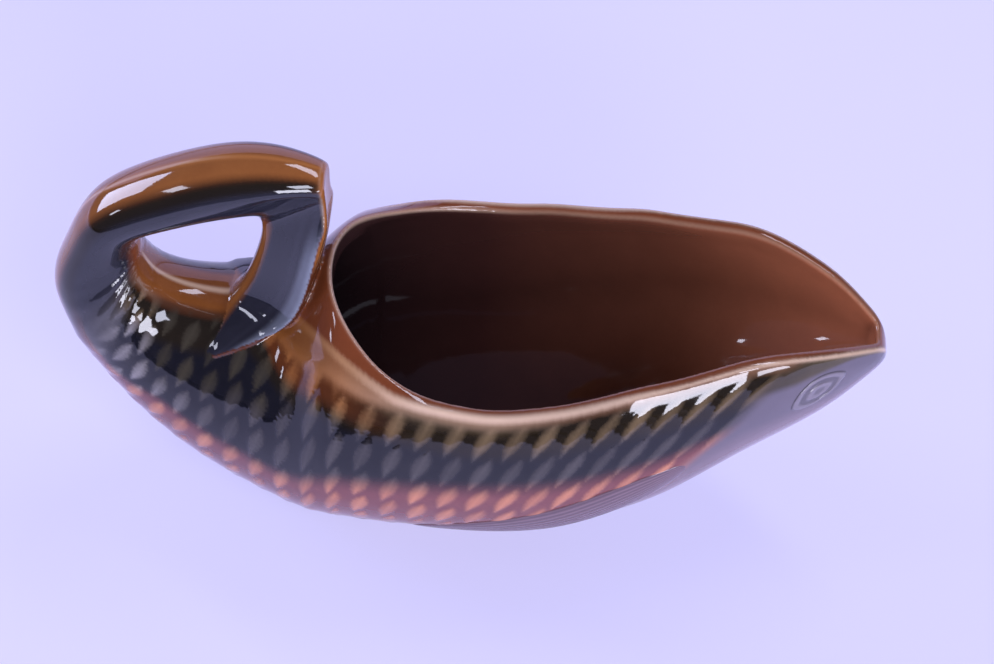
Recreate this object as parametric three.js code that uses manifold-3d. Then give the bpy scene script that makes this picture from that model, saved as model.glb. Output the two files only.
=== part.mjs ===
// Fish-shaped gravy boat in glazed earthenware, with a curled tail for a handle.
// Millimetres, +Z up, the head and spout towards +X.
// The origin lies on the table, under the middle of the boat's length.
import * as THREE from "three";
import { mergeVertices } from "three/addons/utils/BufferGeometryUtils.js";
import Module from "manifold-3d";

const wasm = await Module();
wasm.setup();

// Overall sizes
const OVERALL_LENGTH = 198; // spout tip to the back of the curled tail
const BEAM = 80.6; // widest part of the hull
const TAIL_TOP = 110.9; // crest of the curled tail above the table
const BELLY_HEIGHT = 2.5; // lowest part of the belly above the table

// Hull
const CHIN_RISE = 55; // belly up to the spout tip
const RUMP_RISE = 54; // belly up to the root of the tail
const BACK_HEIGHT = 64.9; // top of the back behind the bowl
const CREST_JOIN = -50; // X where the two rim crests meet on the back
const WALL = 4; // thickness of the body
const RIM_WIDTH = 3.9; // rim from its outer crest to its inner lip
const BOWL_REAR = -31.3; // X of the inner lip at the back of the bowl
const COLLAR_RISE = 11.5; // height of the collar behind the bowl
const COLLAR_REACH = 25; // half length of the collar
const COLLAR_X = -27; // X of the top of the collar
const CAVITY_REAR = -63; // X where the hollow of the body ends

// Tail
const CURL_LENGTH = 70.6; // back of the tail to the tip of the fin
const TAIL_BREADTH = 20; // tail from side to side
const FIN_SPREAD = 40; // fin from side to side where it meets the back
const RIM_LEAN = 0.75; // place of the fin's rim between its middle and its outer edge
const FACE_HOLLOW = 1.8; // how much the fin's faces hollow between rim and inner edge

// Foot
const FOOT_LENGTH = 64;
const FOOT_WIDTH = 31;
const FOOT_X = -14; // X of the middle of the foot
const FOOT_RECESS = 0.8; // depth of the hollow under the foot
const FOOT_RIM = 4; // width of the standing rim

// Eyes and side fins
const EYE_LENGTH = 13.5;
const EYE_HEIGHT = 9.5;
const EYE_RELIEF = 0.9; // eye above the flank
const EYE_SETBACK = 17; // eye behind the spout tip
const EYE_LIFT = 6; // degrees of the eye above the widest line of the head
const SIDE_FIN_WIDTH = 15;
const SIDE_FIN_RELIEF = 1.3; // side fin above the flank
const SIDE_FIN_SETBACK = 46; // root of the side fin behind the spout tip
const SIDE_FIN_LENGTH = 64;

// Clay pieces are stuck together with a thin layer of slip.
const SLIP_GAP = 0.3;

const half = OVERALL_LENGTH / 2;
const eyeX = half - EYE_SETBACK;
const sideFinRoot = half - SIDE_FIN_SETBACK;
const sideFinTip = sideFinRoot - SIDE_FIN_LENGTH;

// A smooth function through points, without overshoot between them.
function profile(points) {
  const n = points.length;
  const slope = [];
  for (let i = 0; i < n - 1; i++) {
    slope.push((points[i + 1][1] - points[i][1]) / (points[i + 1][0] - points[i][0]));
  }
  const tangent = [slope[0]];
  for (let i = 1; i < n - 1; i++) {
    const product = slope[i - 1] * slope[i];
    tangent.push(product > 0 ? (2 * product) / (slope[i - 1] + slope[i]) : 0);
  }
  tangent.push(slope[n - 2]);
  return (x) => {
    let i = 0;
    while (i < n - 2 && x > points[i + 1][0]) {
      i++;
    }
    const step = points[i + 1][0] - points[i][0];
    const t = THREE.MathUtils.clamp((x - points[i][0]) / step, 0, 1);
    const h00 = (1 + 2 * t) * (1 - t) * (1 - t);
    const h10 = t * (1 - t) * (1 - t);
    const h01 = t * t * (3 - 2 * t);
    const h11 = t * t * (t - 1);
    return (
      h00 * points[i][1] + h10 * step * tangent[i] + h01 * points[i + 1][1] + h11 * step * tangent[i + 1]
    );
  };
}

// Square of the hull's half width along its length, both as shares, so that the nose is round.
const plan = profile([
  [-1, 0.1],
  [-0.8, 0.205],
  [-0.66, 0.318],
  [-0.5, 0.52],
  [-0.28, 0.885],
  [-0.05, 1],
  [0.14, 0.985],
  [0.37, 0.84],
  [0.61, 0.53],
  [0.85, 0.18],
  [0.94, 0.057],
  [1, 0],
]);
const halfWidth = (x) => (BEAM / 2) * Math.sqrt(Math.max(plan(x / half), 0));

// Keel line: flat under the bowl, rising to the chin and to the root of the tail.
const chin = profile([
  [-0.2, 0],
  [0.05, 0.022],
  [0.22, 0.07],
  [0.45, 0.25],
  [0.69, 0.58],
  [0.86, 0.785],
  [1, 1],
]);
function keel(x) {
  const back = Math.max(-x - 0.2 * half, 0) / (0.8 * half);
  return BELLY_HEIGHT + (back > 0 ? RUMP_RISE * Math.pow(back, 3.5) : CHIN_RISE * chin(x / half));
}

// Angle of the rim's outer crest round the hull's section, in degrees above its widest line.
const crestAngle = profile([
  [CREST_JOIN / half, 86],
  [0.5 * (CREST_JOIN + COLLAR_X) / half, 63],
  [COLLAR_X / half, 48],
  [-0.18, 40.5],
  [-0.05, 35],
  [0.1, 32.5],
  [0.5, 36.5],
  [1, 34],
]);

// Bump of the collar along the hull, one at its top and nought past its reach.
function collar(x) {
  const t = Math.min(Math.abs(x - COLLAR_X) / COLLAR_REACH, 1);
  return Math.pow(Math.cos((t * Math.PI) / 2), 2);
}

// Top of the back behind the bowl, and the rail under the rump, as far as the root of the tail.
const rump = new THREE.SplineCurve([
  new THREE.Vector2(CREST_JOIN, BACK_HEIGHT),
  new THREE.Vector2(CREST_JOIN - 0.093 * half, BACK_HEIGHT - 0.4),
  new THREE.Vector2(CREST_JOIN - 0.182 * half, BACK_HEIGHT + 1.6),
  new THREE.Vector2(CREST_JOIN - 0.243 * half, BACK_HEIGHT + 5.6),
  new THREE.Vector2(-half + 22.2, BACK_HEIGHT + 11.5),
]);
const ROOT_X = -half + 2.4;

// A section across the fish: its middle, the direction up the section, its half width,
// half height, crest angle and the rise of the top between the two crests. On the tail's fin
// it widens by a share towards a rim near its outer edge, and edge is its inner edge's breadth.
function bowlSection(x) {
  const width = halfWidth(x);
  const low = keel(x);
  const crest = THREE.MathUtils.degToRad(crestAngle(x / half));
  const behind = THREE.MathUtils.smoothstep(-x, -COLLAR_X, -CREST_JOIN);
  const height = THREE.MathUtils.lerp(width, (BACK_HEIGHT - low) / 2, behind);
  const closed = height * (1 - Math.sin(crest));
  return {
    middle: new THREE.Vector2(x, low + height),
    up: new THREE.Vector2(0, 1),
    width: width,
    height: height,
    crest: crest,
    crown: COLLAR_RISE * collar(x) + closed * behind,
  };
}

function railSection(outer, inner, width, rim = 0, edge = 0) {
  const up = inner.clone().sub(outer);
  const height = up.length() / 2;
  const crest = THREE.MathUtils.degToRad(80);
  return {
    middle: outer.clone().add(inner).multiplyScalar(0.5),
    up: up.normalize(),
    width: width,
    height: height,
    crest: crest,
    crown: height * (1 - Math.sin(crest)),
    rim: rim,
    edge: edge,
  };
}

function rumpSection(t) {
  const x = THREE.MathUtils.lerp(CREST_JOIN, ROOT_X, t);
  const rail = railSection(new THREE.Vector2(x, keel(x)), rump.getPoint(t), halfWidth(x));
  rail.crest = THREE.MathUtils.degToRad(THREE.MathUtils.lerp(86, 80, t));
  rail.crown = rail.height * (1 - Math.sin(rail.crest));
  return rail;
}

// Half width and height of a section at an angle round it, as shares of its own.
function sectionPoint(section, angle) {
  const rim = section.rim ?? 0;
  const edge = section.edge ?? 0;
  const u = Math.sin(angle);
  const v = Math.max(u, 0);
  const face = (edge + (1 - edge) * Math.pow(1 - v, FACE_HOLLOW)) * Math.sqrt(1 - Math.pow(v, 8));
  const flared = u > 0 ? face : Math.cos(angle);
  const lean = -RIM_LEAN * rim;
  return {
    y: THREE.MathUtils.lerp(Math.cos(angle), flared, rim),
    h: lean + u * (u > 0 ? 1 - lean : 1 + lean),
  };
}

// Ring of points round a section. A growth swells it.
const FLANK_STEPS = 14;
const TOP_STEPS = 12;
function ring(section, growth = 0, topSteps = TOP_STEPS) {
  const points = [];
  const width = section.width + growth;
  const height = section.height + growth;
  const place = (y, h) => {
    points.push(
      new THREE.Vector3(section.middle.x + section.up.x * h, y, section.middle.y + section.up.y * h)
    );
  };
  const flank = (side, step) => {
    const angle = THREE.MathUtils.lerp(-Math.PI / 2, section.crest, step / FLANK_STEPS);
    const at = sectionPoint(section, angle);
    place(side * width * at.y, height * at.h);
  };
  for (let i = 0; i < FLANK_STEPS; i++) {
    flank(1, i);
  }
  const crest = sectionPoint(section, section.crest);
  for (let i = 0; i <= topSteps; i++) {
    const t = 1 - (2 * i) / topSteps;
    place(t * width * crest.y, height * crest.h + section.crown * (1 - t * t));
  }
  for (let i = FLANK_STEPS - 1; i > 0; i--) {
    flank(-1, i);
  }
  return points;
}

// Closed body over rings of equal count, with a flat fan over each end.
function loft(rings) {
  const positions = [];
  const index = [];
  const count = rings[0].length;
  for (const points of rings) {
    for (const p of points) {
      positions.push(p.x, p.y, p.z);
    }
  }
  for (let r = 0; r < rings.length - 1; r++) {
    for (let i = 0; i < count; i++) {
      const a = r * count + i;
      const b = r * count + ((i + 1) % count);
      index.push(a, b, b + count, a, b + count, a + count);
    }
  }
  for (const end of [0, rings.length - 1]) {
    const middle = new THREE.Vector3();
    for (const p of rings[end]) {
      middle.addScaledVector(p, 1 / count);
    }
    const tip = positions.length / 3;
    positions.push(middle.x, middle.y, middle.z);
    for (let i = 0; i < count; i++) {
      const a = end * count + i;
      const b = end * count + ((i + 1) % count);
      index.push(...(end === 0 ? [tip, b, a] : [tip, a, b]));
    }
  }
  const at = (i) => new THREE.Vector3().fromArray(positions, 3 * i);
  let volume = 0;
  for (let i = 0; i < index.length; i += 3) {
    volume += at(index[i]).dot(at(index[i + 1]).cross(at(index[i + 2])));
  }
  if (volume < 0) {
    index.reverse();
  }
  const geometry = new THREE.BufferGeometry();
  geometry.setAttribute("position", new THREE.Float32BufferAttribute(positions, 3));
  geometry.setIndex(index);
  return geometry;
}

function toManifold(geometry) {
  const bare = geometry.clone();
  bare.deleteAttribute("normal");
  bare.deleteAttribute("uv");
  const welded = mergeVertices(bare, 1e-4);
  const solid = new wasm.Manifold(
    new wasm.Mesh({
      numProp: 3,
      vertProperties: new Float32Array(welded.attributes.position.array),
      triVerts: new Uint32Array(welded.index.array),
    })
  );
  return solid;
}

function fromManifold(solid) {
  const mesh = solid.getMesh();
  const geometry = new THREE.BufferGeometry();
  geometry.setAttribute("position", new THREE.BufferAttribute(new Float32Array(mesh.vertProperties), 3));
  geometry.setIndex(new THREE.BufferAttribute(new Uint32Array(mesh.triVerts), 1));
  geometry.computeVertexNormals();
  return geometry;
}

// Stations from the spout tip to the back, closer together towards the tip.
function stations(from, to, count) {
  const list = [];
  for (let i = 0; i <= count; i++) {
    const t = i / count;
    list.push(THREE.MathUtils.lerp(from, to, Math.pow(t, 1.4)));
  }
  return list;
}

function hullSolid(growth) {
  const rings = stations(half - 0.15 + growth, CREST_JOIN, 42).map((x) =>
    ring(bowlSection(Math.min(x, half - 0.15)), growth).map((p) => p.setX(x))
  );
  for (let i = 1; i <= 12; i++) {
    rings.push(ring(rumpSection(i / 12), growth));
  }
  return toManifold(loft(rings));
}

// Hollow of the body: the hull's round sections drawn in by the wall.
function cavitySolid() {
  const rings = [];
  const front = half - WALL;
  const steps = 34;
  for (let i = 0; i <= steps; i++) {
    const x = THREE.MathUtils.lerp(front, CAVITY_REAR, i / steps);
    const room = Math.min((x - CAVITY_REAR) / 14, 1);
    const close = Math.sqrt(Math.max(1 - (1 - room) * (1 - room), 0.01));
    const section = bowlSection(x);
    const back = Math.min(section.middle.y + section.width, BACK_HEIGHT + COLLAR_RISE * collar(x));
    const low = section.middle.y - section.width;
    const middle = x < COLLAR_X ? (low + back) / 2 : section.middle.y;
    const tall = x < COLLAR_X ? (back - low) / 2 : section.height;
    const points = [];
    for (let k = 0; k < 28; k++) {
      const angle = (2 * Math.PI * (k + 0.5)) / 28;
      const y = (section.width - WALL) * close * Math.cos(angle);
      points.push(new THREE.Vector3(x, y, middle + (tall - WALL) * close * Math.sin(angle)));
    }
    rings.push(points);
  }
  return toManifold(loft(rings));
}

// Mouth of the bowl seen from above, cut straight up from the hollow.
function mouthSolid() {
  const centre = 8;
  const crestWidth = (x) => halfWidth(x) * Math.cos(THREE.MathUtils.degToRad(crestAngle(x / half)));
  const widest = crestWidth(centre) - RIM_WIDTH;
  const side = [];
  const rear = centre - BOWL_REAR;
  for (let i = 0; i < 14; i++) {
    const angle = (i / 14) * (Math.PI / 2);
    const full = 0.91;
    side.push([centre - rear * Math.pow(Math.cos(angle), full), widest * Math.pow(Math.sin(angle), full)]);
  }
  const front = half - RIM_WIDTH;
  for (let i = 0; i < 22; i++) {
    const t = i / 22;
    const x = THREE.MathUtils.lerp(centre, front, 1 - (1 - t) * (1 - t));
    const taper = Math.sqrt((front - x) / (front - centre));
    side.push([x, Math.min(crestWidth(x) - RIM_WIDTH, widest * Math.max(taper, 0) * 1.06)]);
  }
  side.push([front, 0]);
  const outline = new THREE.Shape();
  side.forEach(([x, y], i) => (i === 0 ? outline.moveTo(x, y) : outline.lineTo(x, y)));
  for (let i = side.length - 2; i > 0; i--) {
    outline.lineTo(side[i][0], -side[i][1]);
  }
  const geometry = new THREE.ExtrudeGeometry(outline, { depth: TAIL_TOP, bevelEnabled: false });
  return toManifold(geometry.translate(0, 0, bowlSection(front).middle.y));
}

// Rails of the tail in its middle plane, as shares of the curl's length and of its rise over
// the back: the outer edge, the inner edge round the finger hole, the half breadth in
// millimetres, and the inner edge's share of it. The fin begins at the crest of the arch.
const tailRails = [
  { outer: [0, 0.04], inner: [0.303, 0.31], width: 0.54 * TAIL_BREADTH, edge: 0.5 },
  { outer: [0.069, 0.341], inner: [0.303, 0.38], width: 0.5 * TAIL_BREADTH, edge: 0.5 },
  { outer: [0.199, 0.65], inner: [0.352, 0.5], width: 0.49 * TAIL_BREADTH, edge: 0.5 },
  { outer: [0.462, 0.885], inner: [0.514, 0.595], width: 0.485 * TAIL_BREADTH, edge: 0.5 },
  { outer: [0.72, 1], inner: [0.705, 0.66], width: 0.49 * TAIL_BREADTH, edge: 0.5 },
  { outer: [0.92, 0.95], inner: [0.725, 0.62], width: 0.43 * TAIL_BREADTH, edge: 0.5 },
  { outer: [1.004, 0.84], inner: [0.732, 0.55], width: 0.36 * TAIL_BREADTH, edge: 0.45 },
  { outer: [0.972, 0.627], inner: [0.727, 0.455], width: 0.2125 * FIN_SPREAD, edge: 0.38 },
  { outer: [0.938, 0.419], inner: [0.7, 0.315], width: 0.25 * FIN_SPREAD, edge: 0.33 },
  { outer: [0.91, 0.249], inner: [0.66, 0.15], width: 0.275 * FIN_SPREAD, edge: 0.3 },
  { outer: [0.856, 0.056], inner: [0.61, 0.02], width: 0.325 * FIN_SPREAD, edge: 0.3 },
  { outer: [0.756, -0.04], inner: [0.59, -0.012], width: 0.38 * FIN_SPREAD, edge: 0.45 },
  { outer: [0.672, -0.088], inner: [0.57, -0.048], width: 0.42 * FIN_SPREAD, edge: 0.65 },
  { outer: [0.567, -0.146], inner: [0.54, -0.128], width: 0.435 * FIN_SPREAD, edge: 0.9 },
];
const finStart = 1 + tailRails.findIndex((r) => r.outer[1] === 1); // rail at the crest of the arch
const tailRim = profile([
  [0, 0],
  [5, 0],
  [6.4, 0.4],
  [7.4, 0.8],
  [8.2, 1],
  [tailRails.length, 1],
]);
const railPoint = (p) =>
  new THREE.Vector2(-half + p[0] * CURL_LENGTH, BACK_HEIGHT + p[1] * (TAIL_TOP - BACK_HEIGHT));
const tailOuter = new THREE.SplineCurve([
  new THREE.Vector2(ROOT_X, keel(ROOT_X)),
  ...tailRails.map((r) => railPoint(r.outer)),
]);
const tailInner = new THREE.SplineCurve([rump.getPoint(1), ...tailRails.map((r) => railPoint(r.inner))]);
const tailWidth = new THREE.SplineCurve([
  new THREE.Vector2(halfWidth(ROOT_X), tailRails[0].edge),
  ...tailRails.map((r) => new THREE.Vector2(r.width, r.edge)),
]);

function tailRings(from, to, count) {
  const rings = [];
  for (let i = 0; i <= count; i++) {
    const rail = THREE.MathUtils.lerp(from, to, i / count);
    const t = rail / tailRails.length;
    const size = tailWidth.getPoint(t);
    const section = railSection(tailOuter.getPoint(t), tailInner.getPoint(t), size.x, tailRim(rail), size.y);
    rings.push(ring(section, 0, 4));
  }
  return rings;
}

// Stem of the tail, from the rump up and over the finger hole.
function tailStem() {
  const rings = tailRings(0, finStart, 22);
  const root = rumpSection(1);
  const slip = new THREE.Vector3(-root.up.y, 0, root.up.x).multiplyScalar(SLIP_GAP);
  rings[0].forEach((p) => p.add(slip));
  return toManifold(loft(rings));
}

// Tail fin, turning down from the stem and spreading over the back.
function tailFin(body) {
  const rings = tailRings(finStart, tailRails.length, 36);
  rings[0].forEach((p) => p.setX(p.x + SLIP_GAP));
  const pieces = toManifold(loft(rings)).subtract(body).decompose();
  return pieces.reduce((a, b) => (a.volume() > b.volume() ? a : b));
}

// Oval foot under the belly, hollowed a little so that it stands on its rim.
function footSolid(body) {
  const oval = (z, grow) => {
    const points = [];
    for (let k = 0; k < 48; k++) {
      const angle = (2 * Math.PI * k) / 48;
      const x = FOOT_X + (FOOT_LENGTH / 2 + grow) * Math.cos(angle);
      points.push(new THREE.Vector3(x, (FOOT_WIDTH / 2 + grow) * Math.sin(angle), z));
    }
    return points;
  };
  const top = BELLY_HEIGHT + 9;
  const block = toManifold(loft([oval(0, -0.8), oval(0.8, 0), oval(top, 1)]));
  const recess = toManifold(loft([oval(-1, -FOOT_RIM), oval(FOOT_RECESS, -FOOT_RIM - 0.6)]));
  return block.subtract(recess).subtract(body);
}

// Point on the flank of the hull, lifted off it.
function flankPoint(x, degrees, side, lift) {
  const section = bowlSection(x);
  const angle = THREE.MathUtils.degToRad(degrees);
  const radius = section.width + lift;
  return new THREE.Vector3(x, side * radius * Math.cos(angle), section.middle.y + radius * Math.sin(angle));
}

// Modelled eye: an outer ring, a groove and a domed pupil, seated on the flank.
function eyeSolid(side, body) {
  const outline = [
    [0, -EYE_HEIGHT / 2],
    [1, -EYE_HEIGHT / 2],
    [1, 0.45 * EYE_RELIEF],
    [0.86, EYE_RELIEF],
    [0.7, 0.5 * EYE_RELIEF],
    [0.5, 0.55 * EYE_RELIEF],
    [0.32, 1.3 * EYE_RELIEF],
    [0, 1.7 * EYE_RELIEF],
  ].map(([r, h]) => new THREE.Vector2(r, h));
  const geometry = new THREE.LatheGeometry(outline, 28);
  geometry.scale(EYE_LENGTH / 2, 1, EYE_HEIGHT / 2);
  const seat = flankPoint(eyeX, EYE_LIFT, side, 0);
  const ahead = flankPoint(eyeX + 1, EYE_LIFT, side, 0).sub(flankPoint(eyeX - 1, EYE_LIFT, side, 0));
  const above = flankPoint(eyeX, EYE_LIFT + 2, side, 0).sub(flankPoint(eyeX, EYE_LIFT - 2, side, 0));
  const out = ahead.clone().cross(above).normalize().multiplyScalar(-side);
  const nose = ahead.normalize();
  const turn = new THREE.Matrix4().makeBasis(nose, out, nose.clone().cross(out));
  geometry.applyMatrix4(turn).translate(seat.x, seat.y, seat.z);
  return toManifold(geometry).subtract(body);
}

// Leaf-shaped side fin lying along the lower flank.
function sideFinSolid(side) {
  const rings = [];
  const along = 20;
  const across = 8;
  const midline = profile([
    [sideFinTip, -34],
    [0.55 * sideFinTip + 0.45 * sideFinRoot, -25],
    [sideFinRoot, -8],
  ]);
  for (let i = 0; i <= along; i++) {
    const t = i / along;
    const x = THREE.MathUtils.lerp(sideFinRoot, sideFinTip, t);
    const spread = SIDE_FIN_WIDTH * (0.04 + 0.5 * Math.pow(Math.sin(Math.PI * Math.pow(t, 0.8)), 0.7));
    const reach = THREE.MathUtils.radToDeg(spread / halfWidth(x));
    const points = [];
    const edge = 0.35 * SIDE_FIN_RELIEF;
    for (let k = 0; k <= across; k++) {
      const v = (2 * k) / across - 1;
      const lift = edge + (SIDE_FIN_RELIEF - edge) * (1 - v * v) * Math.sin(Math.PI * Math.pow(t, 0.8));
      points.push(flankPoint(x, midline(x) - side * v * reach, side, SLIP_GAP + lift));
    }
    for (let k = across; k >= 0; k--) {
      const v = (2 * k) / across - 1;
      points.push(flankPoint(x, midline(x) - side * v * reach, side, SLIP_GAP));
    }
    rings.push(points);
  }
  return toManifold(loft(rings));
}

const GLAZES = {
  body: { color: 0x4c4a3f, roughness: 0.14, metalness: 0 },
  tail: { color: 0x6d5a34, roughness: 0.14, metalness: 0 },
  fin: { color: 0x66708a, roughness: 0.16, metalness: 0 },
  foot: { color: 0xc9b89a, roughness: 0.7, metalness: 0 },
};

const group = new THREE.Group();
group.name = "fish_gravy_boat";
function piece(name, solid, glaze) {
  const mesh = new THREE.Mesh(fromManifold(solid), new THREE.MeshStandardMaterial(GLAZES[glaze]));
  mesh.name = name;
  group.add(mesh);
}

const hull = hullSolid(0);
const hullSeat = hullSolid(SLIP_GAP);
piece("body_shell", hull.subtract(cavitySolid()).subtract(mouthSolid()), "body");
piece("tail_stem", tailStem(), "tail");
piece("tail_fin", tailFin(hullSeat), "tail");
piece("foot", footSolid(hullSeat), "foot");
piece("left_eye", eyeSolid(1, hullSeat), "fin");
piece("right_eye", eyeSolid(-1, hullSeat), "fin");
piece("left_side_fin", sideFinSolid(1), "fin");
piece("right_side_fin", sideFinSolid(-1), "fin");

export default group;
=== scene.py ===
"""Looks of a fish-shaped gravy boat in glazed earthenware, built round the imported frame."""

import math

import bpy
import numpy as np
import openvdb
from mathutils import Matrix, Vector
from mathutils.bvhtree import BVHTree


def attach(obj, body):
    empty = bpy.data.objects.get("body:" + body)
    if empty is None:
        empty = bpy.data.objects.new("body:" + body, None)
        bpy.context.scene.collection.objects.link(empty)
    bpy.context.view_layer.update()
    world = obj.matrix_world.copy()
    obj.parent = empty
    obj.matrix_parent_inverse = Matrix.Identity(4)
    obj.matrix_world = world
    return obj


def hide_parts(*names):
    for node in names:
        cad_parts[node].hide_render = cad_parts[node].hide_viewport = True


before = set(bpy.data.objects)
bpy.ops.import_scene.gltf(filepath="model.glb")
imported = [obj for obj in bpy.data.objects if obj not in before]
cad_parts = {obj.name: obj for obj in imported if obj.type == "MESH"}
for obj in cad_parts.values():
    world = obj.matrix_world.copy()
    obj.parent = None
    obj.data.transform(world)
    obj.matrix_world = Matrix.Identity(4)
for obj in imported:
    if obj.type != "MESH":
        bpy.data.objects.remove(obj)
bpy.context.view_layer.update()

# Shapes are worked out in millimetres and handed to Blender in metres.
METRE = 0.001

# Driving sizes of the boat, the same as in the solids
OVERALL_LENGTH = 198
BEAM = 80.6
TAIL_TOP = 110.9
BELLY_HEIGHT = 2.5
CHIN_RISE = 55
RUMP_RISE = 54
BACK_HEIGHT = 64.9
CREST_JOIN = -50
WALL = 4
RIM_WIDTH = 3.9
BOWL_REAR = -31.3
COLLAR_RISE = 11.5
COLLAR_REACH = 25
COLLAR_X = -27
CAVITY_REAR = -63
CURL_LENGTH = 70.6
TAIL_BREADTH = 20
FIN_SPREAD = 40
EYE_LENGTH = 13.5
EYE_HEIGHT = 9.5
EYE_SETBACK = 17
EYE_LIFT = 9
EYE_TILT = 24
SIDE_FIN_WIDTH = 15
SIDE_FIN_RELIEF = 1.3
SIDE_FIN_SETBACK = 46
SIDE_FIN_LENGTH = 64

HALF = OVERALL_LENGTH / 2
ROOT_X = -HALF + 2.4
EYE_X = HALF - EYE_SETBACK
SIDE_FIN_ROOT = HALF - SIDE_FIN_SETBACK
SIDE_FIN_TIP = SIDE_FIN_ROOT - SIDE_FIN_LENGTH

# Scales: pitch along the fish, rows down the flank, size and height of one scale. Behind
# SCALE_REAR the rows run along a line at WAIST on the flank instead of along the crest.
SCALE_PITCH = 6.8
SCALE_ROW = 9.3
SCALE_TOP = 6.5
SCALE_DROP = 3.5
SCALE_HALF_LENGTH = 6.0
SCALE_HALF_WIDTH = 2.4
SCALE_HEIGHT = 0.15
SCALE_REAR = -24
WAIST = 0.3

# Roundings where the clay members meet, and depth of the fine lines
FIN_FILLET = 0.8
FIN_PASSES = 2
SHOULDER_FILLET = 3.0
LIP_ROUND = 1.0
RAY_DEPTH = 0.03
FOLD_HEIGHT = 0.16
SEAT_DEPTH = 0.5

# Height of the eye's ring, and the rails between which the tail's stem and fin overlap
EYE_RING = 0.38
FIN_FROM_RAIL = 5.2
STEM_TO_RAIL = 6.4

# Grid step of the volume that joins the body, and the width of the band round its surface
VOXEL = 0.45
BAND = 5.0


# Curves and small functions

def profile(points):
    """A smooth function through points, without overshoot between them."""
    xs, ys = np.array(points, float).T
    slope = np.diff(ys) / np.diff(xs)
    tangent = np.concatenate([slope[:1], np.zeros(len(xs) - 2), slope[-1:]])
    product = slope[:-1] * slope[1:]
    total = np.where(product > 0, slope[:-1] + slope[1:], 1)
    tangent[1:-1] = np.where(product > 0, 2 * product / total, 0)

    def at(x):
        x = np.asarray(x, float)
        i = np.clip(np.searchsorted(xs, x) - 1, 0, len(xs) - 2)
        step = xs[i + 1] - xs[i]
        t = np.clip((x - xs[i]) / step, 0, 1)
        start = (1 + 2 * t) * (1 - t) ** 2 * ys[i] + t * (1 - t) ** 2 * step * tangent[i]
        end = t * t * (3 - 2 * t) * ys[i + 1] + t * t * (t - 1) * step * tangent[i + 1]
        return start + end

    return at


def spline(points, t):
    """Points of a uniform Catmull-Rom curve; t runs from 0 to 1."""
    p = np.array(points, float)
    last = len(p) - 1
    place = np.asarray(t, float) * last
    i = np.clip(place.astype(int), 0, last - 1)
    w = (place - i)[:, None]
    p0, p1 = p[np.maximum(i - 1, 0)], p[i]
    p2, p3 = p[i + 1], p[np.minimum(i + 2, last)]
    v0, v1 = (p2 - p0) / 2, (p3 - p1) / 2
    cubed, squared = 2 * p1 - 2 * p2 + v0 + v1, -3 * p1 + 3 * p2 - 2 * v0 - v1
    return cubed * w**3 + squared * w**2 + v0 * w + p1


def smooth(low, high, x):
    t = np.clip((x - low) / (high - low), 0, 1)
    return t * t * (3 - 2 * t)


def bell(x, middle, reach):
    """One at the middle, falling smoothly to nought at the reach."""
    return smooth(reach, 0, np.abs(x - middle))


def mix(a, b, t):
    t = np.asarray(t)[..., None]
    return np.asarray(a) * (1 - t) + np.asarray(b) * t


# The fish's lines

plan = profile([
    (-1, 0.1), (-0.8, 0.205), (-0.66, 0.318), (-0.5, 0.52), (-0.28, 0.885), (-0.05, 1),
    (0.14, 0.985), (0.37, 0.84), (0.61, 0.53), (0.85, 0.18), (0.94, 0.057), (1, 0),
])
chin = profile([
    (-0.2, 0), (0.05, 0.022), (0.22, 0.07), (0.45, 0.25), (0.69, 0.58), (0.86, 0.785), (1, 1),
])
crest_angle = profile([
    (CREST_JOIN / HALF, 86), (0.5 * (CREST_JOIN + COLLAR_X) / HALF, 63), (COLLAR_X / HALF, 48),
    (-0.18, 40.5), (-0.05, 35), (0.1, 32.5), (0.5, 36.5), (1, 34),
])


def half_width(x):
    return BEAM / 2 * np.sqrt(np.maximum(plan(x / HALF), 0))


def keel(x):
    back = np.maximum(-x - 0.2 * HALF, 0) / (0.8 * HALF)
    return BELLY_HEIGHT + np.where(back > 0, RUMP_RISE * back**3.5, CHIN_RISE * chin(x / HALF))


def collar(x):
    return np.cos(np.minimum(np.abs(x - COLLAR_X) / COLLAR_REACH, 1) * math.pi / 2) ** 2


def rump_top(t):
    back = CREST_JOIN / HALF
    return spline([
        (CREST_JOIN, BACK_HEIGHT),
        ((back - 0.093) * HALF, BACK_HEIGHT - 0.4),
        ((back - 0.182) * HALF, BACK_HEIGHT + 1.6),
        ((back - 0.243) * HALF, BACK_HEIGHT + 5.6),
        (-HALF + 22.2, BACK_HEIGHT + 11.5),
    ], t)


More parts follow.
